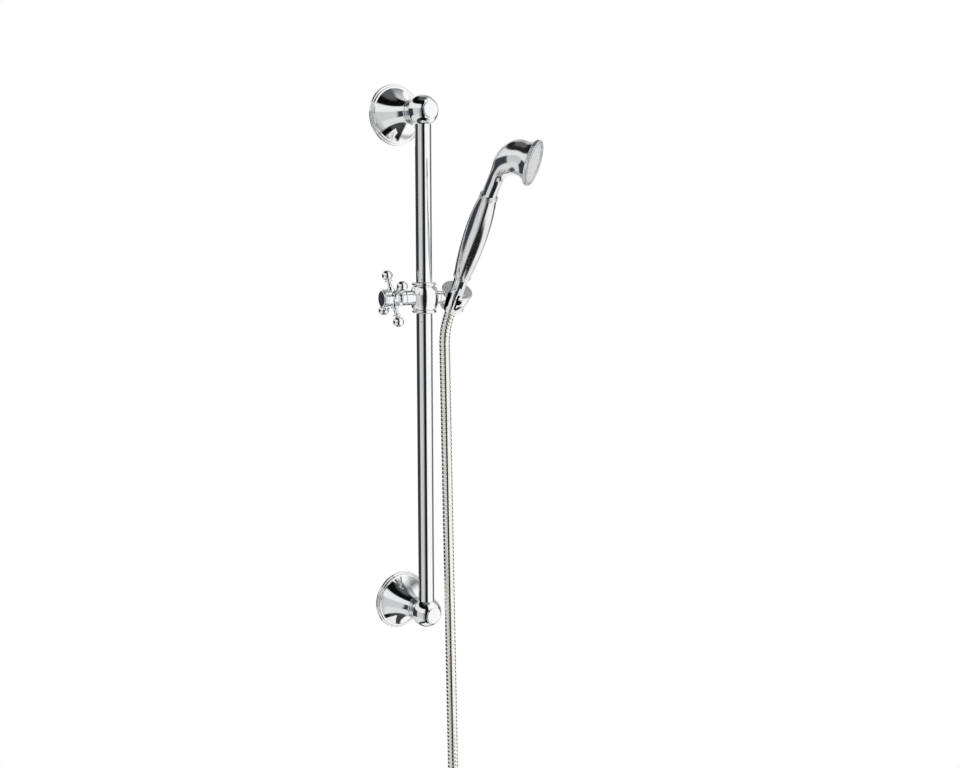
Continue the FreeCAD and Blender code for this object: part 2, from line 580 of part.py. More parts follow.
def build_head():
    """Horn from the neck round the bend to the face: a loft through circles that turn and widen."""
    start = value(HEAD_START)
    reach = value("face_reach")
    rise = value("face_height") - start
    turn = 90 - value("face_angle")
    neck = value("head_neck") / 2
    mouth = value("face_diameter / 2 - rim_lip")
    back = value("rim_depth")
    # Shares of reach, rise, turn and widening at each circle, from the neck to the mouth
    stations = [(0, 0, 0, 0), (0.02, 0.26, 0, 0.01), (0.05, 0.48, 0.27, 0.08), (0.092, 0.692, 0.55, 0.38),
                (0.222, 0.852, 0.76, 0.61), (0.44, 0.962, 0.91, 0.745), (0.70, 0.99, 0.98, 0.785)]
    body = new_body("handset_head", at(handset_frame, HEAD_START))
    rings = [(reach * a, rise * b, turn * c, neck + (mouth - neck) * d) for a, b, c, d in stations]
    lean = math.radians(turn)
    rings.append((reach - back * math.sin(lean), rise - back * math.cos(lean), turn, mouth))
    for kind, wall in (("Additive", 0), ("Subtractive", value("shell_wall"))):
        sketches = []
        for across, up, angle, radius in rings:
            sketch = new_sketch(body, "XY_Plane", Placement(Vector(across, 0, up), Rotation(Y_AXIS, angle)))
            sketch.addGeometry(Part.Circle(Vector(), Z_AXIS, radius - wall))
            sketch.addConstraint(Sketcher.Constraint("Coincident", 0, 3, -1, 1))
            sketch.addConstraint(Sketcher.Constraint("Radius", 0, radius - wall))
            sketches.append(sketch)
        loft = body.newObject(f"PartDesign::{kind}Loft", f"handset_head_{kind.lower()}")
        loft.Profile = sketches[0]
        loft.Sections = sketches[1:]
        doc.recompute()

    edge = "face_diameter / 2"
    seat = "plate_diameter / 2 + seat_clearance"
    outline = [(seat, "0"), (f"{edge} - rim_lip", "0"), (edge, "rim_lip", "rim_lip", 1),
               (edge, "rim_depth - rim_lip"), (f"{edge} - rim_lip", "rim_depth", "rim_lip", 1),
               (seat, "rim_depth")]
    turned("spray_rim", outline, at(face_frame(), "-rim_depth"))

    plate = "plate_diameter / 2"
    dome = f"(({plate})^2 + plate_dome^2) / (2 * plate_dome)"
    outline = [("0", "0"), (plate, "0"), (plate, "plate_depth"), ("0", "plate_depth + plate_dome", dome, 1)]
    body = turned("spray_plate", outline, at(face_frame(), "-rim_depth"))
    for circle in range(1, int(value("nozzle_rings")) + 1):
        offset = shift(x=value("nozzle_pitch") * circle)
        hole = cylinder(body, "Subtractive", "nozzle_diameter", "plate_depth + plate_dome", offset)
        polar(body, hole, "Z_Axis", f"nozzle_count * {circle}")


def swept_tube(label, points):
    """Round hose along straight runs joined by tangent arcs, each as large as its runs allow."""
    radius = value("hose_diameter / 2")
    edges = []
    current = points[0]
    for before, corner, after in zip(points, points[1:], points[2:]):
        into = (corner - before).normalize()
        out = (after - corner).normalize()
        turn = into.getAngle(out)
        cut = ARC_SHARE * min((corner - before).Length, (after - corner).Length)
        bend = cut / math.tan(turn / 2)
        first = corner - into * cut
        last = corner + out * cut
        middle = corner + (out - into).normalize() * (bend / math.cos(turn / 2) - bend)
        edges.append(Part.LineSegment(current, first).toShape())
        edges.append(Part.Arc(first, middle, last).toShape())
        print(f"{label}: bend radius {bend:.1f} mm")
        current = last
    edges.append(Part.LineSegment(current, points[-1]).toShape())
    path = Part.Wire(edges)
    section = Part.Wire(Part.Circle(points[0], points[1] - points[0], radius).toShape())
    tube = path.makePipeShell([section], True, False)
    swept = math.pi * radius ** 2 * path.Length
    print(f"{label}: volume {tube.Volume:.0f}, section times length {swept:.0f}")
    node = doc.addObject("Part::Feature", label)
    node.Label = label
    node.Shape = tube
    node.Placement = Placement()
    sub_parts.append(node)


def build_hose():
    """Hose: the bend under the nut, the hanging run, the tied coil, the tail and its end fitting."""
    points = [Vector(*point) for point in HOSE_ROUTE]
    foot = points[-1]
    hanging = (foot - points[-2]).normalize()
    joined = points[-2] + hanging * value("neck_run")
    swept_tube("hose_neck", points[:-1] + [joined])

    radius = "hose_diameter / 2"
    run = (foot - joined).Length - value("coil_lead")
    tube = doc.addObject("Part::Cylinder", "hose_tube")
    tube.Label = "hose_tube"
    tube.setExpression("Radius", bound(radius))
    tube.Height = run
    tube.Placement = Placement(joined, Rotation(Z_AXIS, hanging))
    sub_parts.append(tube)

    inner = "coil_radius - hose_diameter / 2 - coil_margin"
    outer = "coil_radius + hose_diameter / 2 + coil_margin"
    low = f"-{radius} - coil_margin"
    high = f"coil_pitch * coil_turns + {radius} + coil_margin"
    outline = [(f"{inner} + {radius}", low, radius, 1), (f"{outer} - {radius}", low),
               (outer, f"{low} + {radius}", radius, 1), (outer, f"{high} - {radius}"),
               (f"{outer} - {radius}", high, radius, 1), (f"{inner} + {radius}", high),
               (inner, f"{high} - {radius}", radius, 1), (inner, f"{low} + {radius}")]
    coil_middle = foot - Y_AXIS * value("coil_radius")
    turned("hose_coil", outline, Placement(coil_middle, Rotation(Y_AXIS, 90)))

    tail_end = foot + Vector(value("coil_pitch * coil_turns"), 0, -value("tail_length"))
    length = "tail_length - tail_lead"
    solid = [("0", "0"), (radius, "0"), (radius, length), ("0", length)]
    turned("hose_tail", solid, Placement(tail_end, Rotation()))
    build_tie(foot)
    build_far_end(Placement(tail_end, Rotation(X_AXIS, 180)))


def build_tie(foot):
    """Flat strap round the three strands of the coil."""
    width = "coil_pitch * coil_turns + hose_diameter + 2 * (coil_margin + tie_gap)"
    inner = "coil_radius - hose_diameter / 2 - coil_margin"
    inside = f"coil_radius - sqrt(({inner})^2 - (tie_lift + tie_height)^2) + tie_gap"
    outside = "hose_diameter / 2 + coil_margin + tie_gap"
    boxes = []
    for name, wall in (("tie_outside", "tie_wall"), ("tie_inside", "0")):
        box = doc.addObject("Part::Box", name)
        box.setExpression("Length", bound(f"{width} + 2 * {wall}"))
        box.setExpression("Width", bound(f"{inside} + {outside} + 2 * {wall}"))
        box.setExpression("Height", bound("tie_height"))
        margin = value(wall)
        box.Placement = shift(-value("hose_diameter / 2 + coil_margin + tie_gap") - margin,
                              -value(inside) - margin)
        boxes.append(box)
    tie = doc.addObject("Part::Cut", "hose_tie")
    tie.Label = "hose_tie"
    tie.Base, tie.Tool = boxes
    tie.Placement = Placement(foot + Z_AXIS * value("tie_lift"), Rotation())
    sub_parts.append(tie)


def build_far_end(frame):
    """Crimped ferrule, six-sided union nut and its seal at the end of the hose."""
    hose = "hose_diameter / 2"
    outer = "ferrule_diameter / 2"
    outline = [("0", "0"), (hose, "0"), (outer, f"{outer} - {hose}"), (outer, "ferrule_length"),
               ("0", "ferrule_length")]
    turned("hose_far_ferrule", outline, frame)

    length = "far_nut_length"
    body = new_body("hose_far_nut", at(frame, "ferrule_length"))
    sketch = new_sketch(body, "XY_Plane")
    corner = value("far_nut_flats") / math.sqrt(3)
    corners = [Vector(corner * math.cos(math.radians(60 * k)), corner * math.sin(math.radians(60 * k)), 0)
               for k in range(6)]
    for index in range(6):
        sketch.addGeometry(Part.LineSegment(corners[index], corners[(index + 1) % 6]))
    for index in range(6):
        sketch.addConstraint(Sketcher.Constraint("Coincident", index, 2, (index + 1) % 6, 1))
        if index:
            sketch.addConstraint(Sketcher.Constraint("Equal", 0, index))
    helper = sketch.addGeometry(Part.Circle(Vector(), Z_AXIS, corner), True)
    sketch.addConstraint(Sketcher.Constraint("Coincident", helper, 3, -1, 1))
    for index in range(6):
        sketch.addConstraint(Sketcher.Constraint("PointOnObject", index, 1, helper))
    sketch.addConstraint(Sketcher.Constraint("PointOnObject", 0, 1, -1))
    size = sketch.addConstraint(Sketcher.Constraint("Radius", helper, corner))
    sketch.setExpression(f"Constraints[{size}]", bound("far_nut_flats / sqrt(3)"))
    pad = body.newObject("PartDesign::Pad", "hose_far_nut_flats")
    pad.Profile = sketch
    pad.setExpression("Length", bound(length))
    doc.recompute()
    cylinder(body, "Subtractive", "far_thread", "far_thread_depth",
             shift(z=value(f"{length} - far_thread_depth")))
    cylinder(body, "Subtractive", "far_seat", "seal_thickness",
             shift(z=value(f"{length} - far_thread_depth")))

    outer = "far_seat / 2 - seat_clearance"
    inner = "seal_hole / 2"
    outline = [(inner, "0"), (outer, "0"), (outer, "seal_thickness"), (inner, "seal_thickness")]
    turned("hose_far_washer", outline, at(frame, f"ferrule_length + {length} - far_thread_depth"))


build_rail()
build_bracket("upper", 1)
build_bracket("lower", -1)
build_slider()
build_clamp()
build_cross_handle()
build_holder()
build_cone_nut()
build_handset()
build_hose()
doc.recompute()

for item in doc.Objects:
    if "Invalid" in item.State or "Error" in item.State:
        raise RuntimeError(f"{item.Label} failed to build: {item.State}")
for part in sub_parts:
    if part.Shape.isNull() or not part.Shape.isValid():
        raise RuntimeError(f"{part.Label} has no valid shape")

os.makedirs("parts", exist_ok=True)
for part in sub_parts:
    part.Shape.exportStep(os.path.join("parts", f"{part.Label}.step"))
    print(f"{part.Label}: {len(part.Shape.Solids)} solid, {part.Shape.Volume:.0f} cubic mm")
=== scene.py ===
"""Look of a chromed shower slide rail with its slider, holder, handset and ribbed hose."""
import math
import bpy
import numpy as np
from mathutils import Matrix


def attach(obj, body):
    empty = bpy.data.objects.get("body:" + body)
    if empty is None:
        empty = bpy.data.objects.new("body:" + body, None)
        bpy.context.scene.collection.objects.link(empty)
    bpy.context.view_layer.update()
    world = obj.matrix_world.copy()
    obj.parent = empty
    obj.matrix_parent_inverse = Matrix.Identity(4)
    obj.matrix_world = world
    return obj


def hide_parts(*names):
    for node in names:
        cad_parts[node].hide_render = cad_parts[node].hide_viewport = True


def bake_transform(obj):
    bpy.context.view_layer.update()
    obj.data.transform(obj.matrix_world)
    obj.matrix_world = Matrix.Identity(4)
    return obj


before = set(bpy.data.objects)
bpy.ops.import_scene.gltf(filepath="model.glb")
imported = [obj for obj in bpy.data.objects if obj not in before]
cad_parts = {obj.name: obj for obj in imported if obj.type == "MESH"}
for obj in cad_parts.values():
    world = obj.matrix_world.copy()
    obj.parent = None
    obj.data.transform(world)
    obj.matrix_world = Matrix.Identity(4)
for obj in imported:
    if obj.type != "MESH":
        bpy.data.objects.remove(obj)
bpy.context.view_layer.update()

MM = 0.001
FILLET = 0.25
TURN = 2 * math.pi


def basis(origin, x, z):
    """Frame as a 4 by 4 matrix: origin in mm, the direction of its Z axis and roughly of its X axis."""
    z = np.asarray(z, float) / np.linalg.norm(z)
    x = np.asarray(x, float) - z * np.dot(x, z)
    x = x / np.linalg.norm(x)
    matrix = np.eye(4)
    matrix[:3, :3] = np.stack([x, np.cross(z, x), z], axis=1)
    matrix[:3, 3] = origin
    return matrix


def moved(matrix, x=0.0, y=0.0, z=0.0):
    """The same frame, moved along its own axes."""
    shift = np.eye(4)
    shift[:3, 3] = (x, y, z)
    return matrix @ shift


def turned(matrix, degrees):
    """The same frame, turned about its own Z axis."""
    c, s = math.cos(math.radians(degrees)), math.sin(math.radians(degrees))
    turn = np.eye(4)
    turn[:2, :2] = [[c, -s], [s, c]]
    return matrix @ turn


# Frames of the object, millimetres: the wall is y = 0 and the rail runs up Z
SPAN = 310.0
OFF_WALL = 62.0
SWIVEL = math.radians(8.0)
LEAN = math.radians(35.0)
ARM = np.array([math.cos(SWIVEL), -math.sin(SWIVEL), 0.0])
UP = np.array([0.0, 0.0, 1.0])
ROOMWARD = np.array([-math.sin(SWIVEL), -math.cos(SWIVEL), 0.0])
AXIS = math.sin(LEAN) * ROOMWARD + math.cos(LEAN) * UP
SLIDER_CENTRE = (0, -OFF_WALL, 88.4)
SLIDER = basis(SLIDER_CENTRE, ARM, UP)
HANDLE = basis(SLIDER_CENTRE, UP, -ARM)
TO_CUP = basis(SLIDER_CENTRE, -UP, ARM)
HOLDER = basis(SLIDER[:3, 3] + 42.4 * ARM, ARM, AXIS)
HANDSET = turned(HOLDER, -48)
FACE_ANGLE = math.radians(8.3)
FACE = HANDSET @ basis((38.4, 0, 207.4), (0, 1, 0), (math.cos(FACE_ANGLE), 0, math.sin(FACE_ANGLE)))


def arc(start, end, radius, side, steps=14):
    """Points between two profile points on a minor arc; side 1 has its centre to the left of the way."""
    start, end = np.asarray(start, float), np.asarray(end, float)
    chord = end - start
    length = np.linalg.norm(chord)
    left = np.array([-chord[1], chord[0]]) / length
    centre = (start + end) / 2 + left * side * math.sqrt(max(radius ** 2 - length ** 2 / 4, 0.0))
    first = math.atan2(*(start - centre)[::-1])
    last = math.atan2(*(end - centre)[::-1])
    sweep = (last - first + math.pi) % TURN - math.pi
    angle = first + sweep * np.linspace(0, 1, steps + 1)[1:-1]
    return [(centre[0] + radius * math.cos(a), centre[1] + radius * math.sin(a), 0.0) for a in angle]


def rounded(outline, closed):
    """Profile points and their outward normals. A corner gets a small fillet, its third number in mm,
    and a point with 0 there is one of a smooth curve."""
    points = np.array([row[:2] for row in outline], float)
    fillets = [row[2] if len(row) > 2 else FILLET for row in outline]
    count = len(points)
    after = np.roll(points, -1, axis=0) - points
    length = np.maximum(np.linalg.norm(after, axis=1), 1e-9)
    ahead = after / length[:, None]
    normal = np.stack([ahead[:, 1], -ahead[:, 0]], axis=1)
    rows, sides = [], []
    for k in range(count):
        before_k = (k - 1) % count
        if not closed and k in (0, count - 1):
            rows.append(points[k][None])
            sides.append(normal[0 if k == 0 else before_k][None])
            continue
        n0, n1 = normal[before_k], normal[k]
        turn = math.acos(np.clip(np.dot(n0, n1), -1, 1))
        if fillets[k] == 0 or turn < 0.03:
            rows.append(points[k][None])
            sides.append(((n0 + n1) / np.linalg.norm(n0 + n1))[None])
            continue
        reach = min(fillets[k] * math.tan(turn / 2), 0.45 * length[before_k], 0.45 * length[k])
        share = np.linspace(0, 1, 5)
        t = share[:, None]
        first, last = points[k] - ahead[before_k] * reach, points[k] + ahead[k] * reach
        rows.append((1 - t) ** 2 * first + 2 * t * (1 - t) * points[k] + t ** 2 * last)
        tangent = (1 - t) * ahead[before_k] + t * ahead[k]
        tangent /= np.linalg.norm(tangent, axis=1)[:, None]
        sides.append(np.stack([tangent[:, 1], -tangent[:, 0]], axis=1))
    return np.concatenate(rows), np.concatenate(sides)


def lathe(outline, matrix, closed=True, steps=96):
    """Turned surface: radius times cosine and sine of the angle round the axis, height along it."""
    profile, slope = rounded(outline, closed)
    angle = np.linspace(0, TURN, steps, endpoint=False)
    ring = np.stack([np.cos(angle), np.sin(angle)], axis=1)

    def spun(rows):
        return np.concatenate([rows[:, None, :1] * ring[None], np.repeat(rows[:, None, 1:], steps, 1)], 2)
    points = spun(profile) @ matrix[:3, :3].T + matrix[:3, 3]
    normals = spun(slope) @ matrix[:3, :3].T
    if closed:
        points = np.concatenate([points, points[:1]])
        normals = np.concatenate([normals, normals[:1]])
    return points, normals


def grid(points):
    """A grid of rings with normals from the cross product of its two directions, round and along."""
    padded = np.concatenate([points[:, -1:], points, points[:, :1]], 1)
    across = np.gradient(padded, axis=1)[:, 1:-1]
    normals = np.cross(across, np.gradient(points, axis=0))
    normals /= np.maximum(np.linalg.norm(normals, axis=2, keepdims=True), 1e-12)
    return points, normals


def piece(name, patches, material, body, slot, *nodes, wrap=True):
    """One object from grids of points and normals. It rides on a body, if one is
    given, and stands for CAD nodes."""
    vertices, normals, faces, start = [], [], [], 0
    for points, directions in patches:
        rows, columns = points.shape[:2]
        index = np.arange(rows * columns).reshape(rows, columns) + start
        near = index if wrap else index[:, :-1]
        far = np.roll(index, -1, axis=1) if wrap else index[:, 1:]
        quads = np.stack([near[:-1], far[:-1], far[1:], near[1:]], axis=-1)
        faces.append(quads.reshape(-1, 4))
        vertices.append(points.reshape(-1, 3))
        normals.append(directions.reshape(-1, 3))
        start += rows * columns
    vertices, normals, faces = (np.concatenate(part) for part in (vertices, normals, faces))
    mesh = bpy.data.meshes.new(name)
    mesh.vertices.add(len(vertices))
    mesh.vertices.foreach_set("co", (vertices * MM).ravel())
    mesh.loops.add(faces.size)
    mesh.loops.foreach_set("vertex_index", faces.ravel().astype(np.int32))
    mesh.polygons.add(len(faces))
    mesh.polygons.foreach_set("loop_start", np.arange(0, faces.size, 4, dtype=np.int32))
    mesh.update(calc_edges=True)
    mesh.shade_smooth()
    mesh.normals_split_custom_set_from_vertices(normals)
    mesh.materials.append(material)
    made = bpy.data.objects.new(name, mesh)
    bpy.context.scene.collection.objects.link(made)
    if body:
        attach(made, body)
    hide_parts(*nodes)
    return made


def colour(text):
    """Linear colour from an sRGB hex code."""
    srgb = np.array([int(text[k:k + 2], 16) for k in (1, 3, 5)]) / 255
    return (*np.where(srgb <= 0.04045, srgb / 12.92, ((srgb + 0.055) / 1.055) ** 2.4), 1.0)


def add(tree, kind, inputs=None, stops=(), **settings):
    """Add a shader node: settings are its properties, inputs are numbers or sockets to link, and stops are
    the (position, hex) pairs of a colour ramp."""
    made = tree.nodes.new(kind)
    for name, setting in settings.items():
        setattr(made, name, setting)
    for name, given in (inputs or {}).items():
        if isinstance(given, bpy.types.NodeSocket):
            tree.links.new(given, made.inputs[name])
        else:
            made.inputs[name].default_value = given
    for _ in stops[2:]:
        made.color_ramp.elements.new(1.0)
    for k, (position, text) in enumerate(stops):
        made.color_ramp.elements[k].position = position
        made.color_ramp.elements[k].color = colour(text)
    return made


def surface(name, low, high, grain_mm, rough, metallic=1.0):
    """Principled surface whose tone and roughness drift with a fine noise of the given grain."""
    material = bpy.data.materials.new(name)
    material.use_nodes = True
    tree = material.node_tree
    tree.nodes.clear()
    place = add(tree, "ShaderNodeTexCoord").outputs["Object"]
    noise = add(tree, "ShaderNodeTexNoise", {"Vector": place, "Scale": 1 / (grain_mm * MM), "Detail": 3})
    tone = add(tree, "ShaderNodeValToRGB", {"Fac": noise.outputs["Fac"]}, stops=[(0.3, low), (0.7, high)])
    polish = add(tree, "ShaderNodeMapRange", {"Value": noise.outputs["Fac"], "To Min": rough * 0.85,
                                              "To Max": rough * 1.15}).outputs["Result"]
    shader = add(tree, "ShaderNodeBsdfPrincipled", {"Base Color": tone.outputs["Color"],
                                                    "Metallic": metallic, "Roughness": polish})
    add(tree, "ShaderNodeOutputMaterial", {"Surface": shader.outputs["BSDF"]})
    return material


# A clear mirror with sharp edges to its stripes
CHROME = surface("chrome plate on polished brass", "#F2F3F5", "#FBFBFB", 60, 0.035)
# A duller mirror: stripes run out softly, as plate over cast metal that was only brushed down
SOFT_CHROME = surface("chrome plate on satin cast brass", "#E4E5E7", "#F1F1F2", 40, 0.13)
# Bright ribs with a warm cast from the thin plate, broken up by the grooves between the turns of the strip
HOSE_CHROME = surface("chromed brass strip, rolled and interlocked", "#EFEAE1", "#FAF7F1", 12, 0.08)
# Grey metal with a fine broken shine from the tool's marks
STEEL = surface("turned stainless steel", "#9DA0A3", "#B4B7BA", 3, 0.3)
# Even light grey with a soft gloss, a little cloudy from the mould
PLATE = surface("moulded light grey plastic", "#D6D8D9", "#E8E9EA", 2, 0.35, metallic=0.0)
# Milky off-white, nearly matt
WHITE_NYLON = surface("moulded white nylon", "#DAD9D2", "#E6E5DF", 4, 0.5, metallic=0.0)
# Near black with a dull sheen
BLACK_NYLON = surface("moulded black nylon", "#161616", "#222222", 4, 0.5, metallic=0.0)
# Black and dry, with hardly a highlight
RUBBER = surface("moulded black rubber", "#121212", "#1D1D1D", 3, 0.75, metallic=0.0)
# Pale and flat, with the faint mottle that a roller leaves
FLOOR = surface("matt white paint, rolled", "#EEEEEC", "#F4F4F2", 20, 0.9, metallic=0.0)
BRASS = "chromed_brass"

for names, material in (
        (("slider_bush", "clamp_shoe", "holder_washer"), WHITE_NYLON), (("hose_tie",), BLACK_NYLON),
        (("hose_washer", "hose_far_washer"), RUBBER),
        (("clamp_spindle", "handle_screw", "holder_set_screw"), STEEL),
        (("hose_far_nut", "hose_far_ferrule"), CHROME)):
    for name in names:
        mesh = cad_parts[name].data
        mesh.materials.clear()
        mesh.materials.append(material)


def build_wall_fixing(prefix, height):
    """Ball bracket, bell rose, neck ring and screw cap, turned about a line out of the wall."""
    out = basis((0, 0, height), (1, 0, 0), (0, -1, 0))
    start, front = (12, 47.269), (10.6, 77.769)
    ball = [(7.5, 0.2), (7.5, 46), (12, 46), (*start, 0.8), *arc(start, front, 19, 1, 60), front,
            (5.25, 77.769)]
    piece(f"{prefix}_ball", [lathe(ball, out, closed=False, steps=128)], CHROME, "rail", BRASS,
          f"{prefix}_bracket")
    rim, step, inset, land = (37, 0.6), (35.7, 3.4), (34.6, 3.4), (33.4, 5.5)
    bell, mouth = (32.3, 5.5), (14.5, 40.5)
    inner, edge = (12.7, 35.5), (30.5, 4.6)
    rose = [(33.4, 0), (37, 0), rim, *arc(rim, step, 1.9, 1), step, inset, *arc(inset, land, 1.4, 1), land,
            bell, *arc(bell, mouth, 70, -1, 40), mouth, (7.55, 40.5), (7.55, 35.5), inner,
            *arc(inner, edge, 71.8, 1, 30), edge]
    piece(f"{prefix}_rose", [lathe(rose, out, steps=160)], CHROME, "rail", BRASS, f"{prefix}_rose")
    ring = [(7.55, 0)]
    for radius, low in ((15, 0), (14.2, 3)):
        back, front = (radius, low), (radius, low + 2.5)
        ring += [back, *arc(back, front, 1.6, 1, 8), front, (13.2, low + 2.5), (13.2, low + 3)]
    ring = [*ring[:-2], (7.55, 5.5)]
    piece(f"{prefix}_ring", [lathe(ring, moved(out, z=40.5))], CHROME, "rail", BRASS, f"{prefix}_neck_ring")
    flat = (9.2, 1.5)
    cap = [(5.2, 0), (10, 0), (10, 0.7), *arc((10, 0.7), flat, 0.8, 1, 6), flat,
           *arc(flat, (0, 2.1), (9.2 ** 2 + 0.6 ** 2) / 1.2, 1, 10), (0.01, 2.1)]
    piece(f"{prefix}_cap", [lathe(cap, moved(out, z=77.769), closed=False)], CHROME, "rail", BRASS,
          f"{prefix}_screw_cap")


build_wall_fixing("upper", SPAN)
build_wall_fixing("lower", -SPAN)
tube = [(8.5, -303), (10, -303), (10, 303), (8.5, 303)]
piece("rail", [lathe(tube, basis((0, -OFF_WALL, 0), (1, 0, 0), UP), steps=128)], CHROME, "rail", BRASS,
      "rail_tube")


def build_slider():
    """Barrel with two bosses and a flanged ring at each end."""
    low, high = (14.8, -13.3), (14.8, 13.3)
    barrel = [(12.05, -13.3), low, *arc(low, high, (13.3 ** 2 + 2.9 ** 2) / 5.8, 1, 30), high,
              (12.05, 13.3)]
    boss = [(8.8, 12.5), (8.8, 18.4), (6.6, 18.4)]
    patches = [lathe(barrel, SLIDER, steps=128)]
    patches += [lathe(boss, axis, closed=False) for axis in (HANDLE, TO_CUP)]
    piece("slider_barrel", patches, CHROME, "slider", BRASS, "slider_body")
    neck, top = (14, 1.2), (14, 5.4)
    ring = [(10.4, 0), (13.2, 0), (13.2, 1.2), neck, *arc(neck, top, 2.6, 1), top, (10.4, 5.4)]
    for name, height, way in (("upper", 13.3, 1), ("lower", -13.3, -1)):
        end = basis(SLIDER[:3, 3] + UP * height, ARM, UP * way)
        piece(f"slider_{name}_ring", [lathe(ring, end)], CHROME, "slider", BRASS, f"slider_{name}_ring")


def build_clamp():
    """Collar of two rings, flared skirt, cross handle with ball ends, index cap."""
    collar = [(6.5, 18.4)]
    for low, high in ((18.4, 27.0), (27.45, 32.65)):
        collar += [(8.7, low), (9.3, low), (9.8, low + 0.5), (9.8, high - 0.5), (9.3, high), (8.7, high)]
    collar.append((4.05, 32.65))
    piece("clamp_collar", [lathe(collar, HANDLE, closed=False)], CHROME, "slider", BRASS, "clamp_collar")
    small, large = (5.2, 33.15), (6.3, 35.75)
    skirt = [(4.05, 33.15), small, *arc(small, large, 4, -1), large, (6.7, 35.75), (6.7, 36.55),
             (4.05, 36.55)]
    piece("handle_skirt", [lathe(skirt, HANDLE)], CHROME, "clamp_handle", BRASS, "handle_skirt")
    cross = turned(moved(HANDLE, z=41.75), 30)
    back, waist, step, shoulder = (6.7, -5.2), (6.7, 3.4), (9.3, 3.4), (10.7, 4.8)
    hub = [(4.05, -5.2), back, *arc(back, waist, 8.3, 1, 20), waist, step, *arc(step, shoulder, 1.4, 1, 6),
           shoulder, (10.7, 9.5), (10.2, 9.5), (10.2, 10), (11.2, 10, 0.5), (11.2, 12.6, 0.5), (7.5, 12.6),
           (7.5, 7.6), (2.05, 7.6)]
    ball = 31.1 - math.sqrt(6.7 ** 2 - 2.1 ** 2)
    tip = (2.1, ball)
    spoke = [(4.8, 5.3), (4.8, 12.9), (3.9, 13.8), (2.7, 13.8), (2.7, 15.6), (2.1, ball - 2.7),
             (4.5, ball - 2.7, 0.5), (4.5, ball - 0.9, 0.5), (2.1, ball - 0.9), tip,
             *arc(tip, (0, 37.8), 6.7, 1, 40), (0.01, 37.8, 0)]
    patches = [lathe(hub, cross, closed=False)]
    for quarter in range(4):
        outward = turned(cross, 90 * quarter)
        spoke_frame = basis(outward[:3, 3], outward[:3, 2], outward[:3, 0])
        patches.append(lathe(spoke, spoke_frame, closed=False, steps=64))
    piece("cross_handle", patches, CHROME, "clamp_handle", BRASS, "cross_handle")
    edge, flat = (10.6, 0.5), (8.5, 2.6)
    cap = [(7.45, 0), (10.6, 0), edge, *arc(edge, flat, 2.1, 1, 10), flat,
           *arc(flat, (0, 3), (8.5 ** 2 + 0.4 ** 2) / 0.8, 1, 10), (0.01, 3)]
    piece("index_cap", [lathe(cap, moved(cross, z=12.6), closed=False)], CHROME, "clamp_handle", BRASS,
          "handle_index_cap")


SLOT = math.radians(-132)
SLOT_HALF = 7.5


def build_holder():
    """Cup with a parallel-sided slot: a turned wall whose angle stops where its distance from the slot's
    middle line is half the slot's width. The arm is turned about its own axis and trimmed to the slot."""
    foot, foot_top, bowl, lip, top = (14.5, -15.6), (14.5, -13), (13.8, -13), (17.8, 8), (18.5, 10.6)
    wall = [(9.9, -15.6), foot, *arc(foot, foot_top, 1.35, 1, 8), foot_top, bowl,
            *arc(bowl, lip, 34, 1, 24), lip, (18.5, 8), *arc((18.5, 8), top, 1.35, 1, 8), top, (12.7, 10.6)]
    profile, slope = rounded(wall, True)
    profile, slope = (np.concatenate([rows, rows[:1]]) for rows in (profile, slope))
    gap = np.arcsin(SLOT_HALF / profile[:, 0])
    share = np.linspace(0, 1, 120)
    angle = SLOT + gap[:, None] + (TURN - 2 * gap[:, None]) * share
    ring = np.stack([np.cos(angle), np.sin(angle)], axis=2)

    def spun(rows):
        return np.concatenate([rows[:, None, :1] * ring, np.repeat(rows[:, None, 1:], len(share), 1)], 2)
    patches = [(spun(profile) @ HOLDER[:3, :3].T + HOLDER[:3, 3], spun(slope) @ HOLDER[:3, :3].T)]
    across = -math.sin(SLOT) * HOLDER[:3, 0] + math.cos(SLOT) * HOLDER[:3, 1]
    for column, way in ((0, -1), (-1, 1)):
        edge = patches[0][0][:, column]
        centre = edge.mean(axis=0)
        fan = np.stack([edge, np.repeat(centre[None], len(edge), 0)], axis=1)
        fan = fan if way < 0 else fan[:, ::-1]
        patches.append((fan, np.broadcast_to(across * way, fan.shape)))
    bar = [(6, 12.7), (6, 19.4), (8.2, 19.4), (8.2, 28), (8.2, 29.5)]
    points, normals = lathe(bar, TO_CUP, closed=False)
    local = (points - HOLDER[:3, 3]) @ HOLDER[:3, :3]
    aside = -math.sin(SLOT) * local[..., 0] + math.cos(SLOT) * local[..., 1]
    ahead = math.cos(SLOT) * local[..., 0] + math.sin(SLOT) * local[..., 1]
    trim = np.where((np.abs(aside) < SLOT_HALF) & (ahead > 0), -SLOT_HALF - aside, 0.0)
    points = points + trim[..., None] * across
    points, normals = (np.concatenate([rows, rows[:, :1]], 1) for rows in (points, normals))
    patches.append((points, normals))
    piece("holder_cup", patches, CHROME, "holder", BRASS, "holder_cup", wrap=False)


build_slider()
build_clamp()
build_holder()


def spline(x, y, at):
    """Natural cubic spline through (x, y), read at the given places."""
    x, y = np.asarray(x, float), np.asarray(y, float)
    h = np.diff(x)
    count = len(x)
    system, right = np.eye(count), np.zeros(count)
    inside = np.arange(1, count - 1)
    system[inside, inside - 1] = h[:-1]
    system[inside, inside] = 2 * (h[:-1] + h[1:])
    system[inside, inside + 1] = h[1:]
    right[inside] = 6 * np.diff(np.diff(y) / h)
    bend = np.linalg.solve(system, right)
    k = np.clip(np.searchsorted(x, at) - 1, 0, count - 2)
    a, b = (x[k + 1] - at) / h[k], (at - x[k]) / h[k]
    return a * y[k] + b * y[k + 1] + ((a ** 3 - a) * bend[k] + (b ** 3 - b) * bend[k + 1]) * h[k] ** 2 / 6


